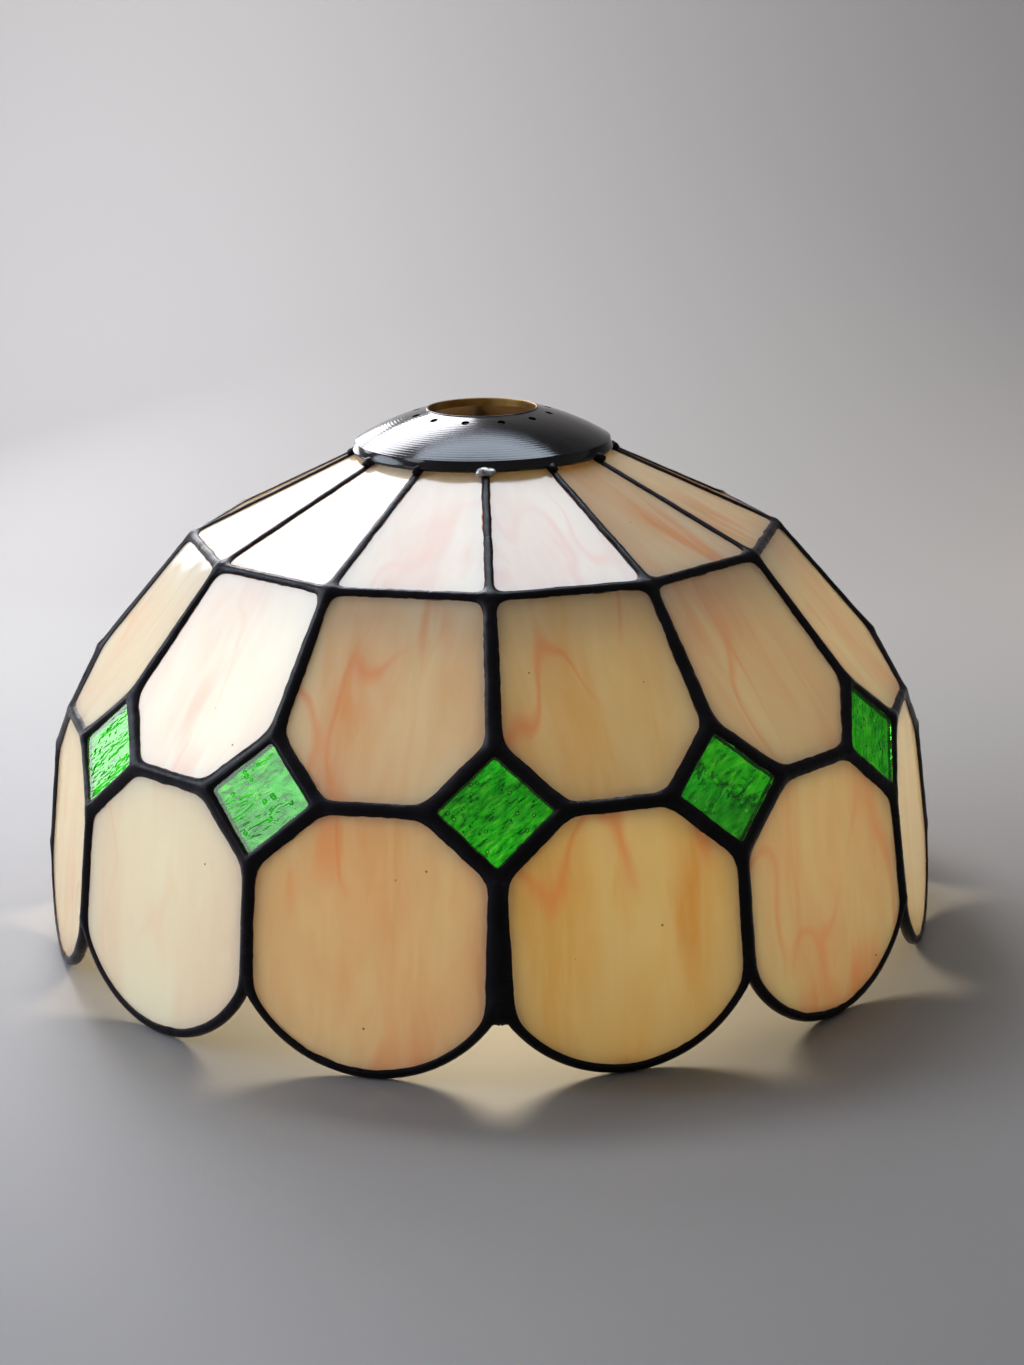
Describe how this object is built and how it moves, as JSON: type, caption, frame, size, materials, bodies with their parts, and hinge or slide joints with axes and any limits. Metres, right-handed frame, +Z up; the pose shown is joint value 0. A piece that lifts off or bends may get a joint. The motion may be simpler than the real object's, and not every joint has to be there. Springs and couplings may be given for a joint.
{
  "type": "stained glass lampshade",
  "caption": "Dome-shaped leaded-glass pendant shade with a row of green diamonds, a scalloped rim and a spun cap for a lampholder ring.",
  "frame": {"origin": "on the shade's axis, in the plane that the feet of the scallops stand on", "axes": "+Z up along the shade's axis, from the open rim to the cap; a seam faces -Y"},
  "size_m": [0.3502, 0.3502, 0.2019],
  "materials": {
    "opal_glass": "glossy opalescent cream glass with peach and amber streaks",
    "green_glass": "glossy rippled green cathedral glass with small bubbles",
    "copper_foil": "thin copper foil, tarnished brown",
    "solder": "lead-tin solder with a black patina, soft sheen",
    "bright_solder": "lead-tin solder, patina worn through to bright metal",
    "cap_brass": "spun brass, black patina outside, bare and golden-brown inside"
  },
  "bodies": {
    "root": {"crown_panel_01": "opal_glass", "crown_panel_02": "opal_glass", "crown_panel_03": "opal_glass", "crown_panel_04": "opal_glass", "crown_panel_05": "opal_glass", "crown_panel_06": "opal_glass", "crown_panel_07": "opal_glass", "crown_panel_08": "opal_glass", "crown_panel_09": "opal_glass", "crown_panel_10": "opal_glass", "crown_panel_11": "opal_glass", "crown_panel_12": "opal_glass", "shoulder_panel_01": "opal_glass", "shoulder_panel_02": "opal_glass", "shoulder_panel_03": "opal_glass", "shoulder_panel_04": "opal_glass", "shoulder_panel_05": "opal_glass", "shoulder_panel_06": "opal_glass", "shoulder_panel_07": "opal_glass", "shoulder_panel_08": "opal_glass", "shoulder_panel_09": "opal_glass", "shoulder_panel_10": "opal_glass", "shoulder_panel_11": "opal_glass", "shoulder_panel_12": "opal_glass", "diamond_01": "green_glass", "diamond_02": "green_glass", "diamond_03": "green_glass", "diamond_04": "green_glass", "diamond_05": "green_glass", "diamond_06": "green_glass", "diamond_07": "green_glass", "diamond_08": "green_glass", "diamond_09": "green_glass", "diamond_10": "green_glass", "diamond_11": "green_glass", "diamond_12": "green_glass", "skirt_panel_01": "opal_glass", "skirt_panel_02": "opal_glass", "skirt_panel_03": "opal_glass", "skirt_panel_04": "opal_glass", "skirt_panel_05": "opal_glass", "skirt_panel_06": "opal_glass", "skirt_panel_07": "opal_glass", "skirt_panel_08": "opal_glass", "skirt_panel_09": "opal_glass", "skirt_panel_10": "opal_glass", "skirt_panel_11": "opal_glass", "skirt_panel_12": "opal_glass", "crown_foil": "copper_foil", "shoulder_foil": "copper_foil", "diamond_foil": "copper_foil", "skirt_foil": "copper_foil", "crown_solder": "solder", "shoulder_ring_solder": "solder", "shoulder_solder": "solder", "waist_solder": "solder", "skirt_solder": "solder", "rim_solder": "solder", "vase_cap": "cap_brass", "cap_solder_tacks": "bright_solder"}
  },
  "joints": []
}
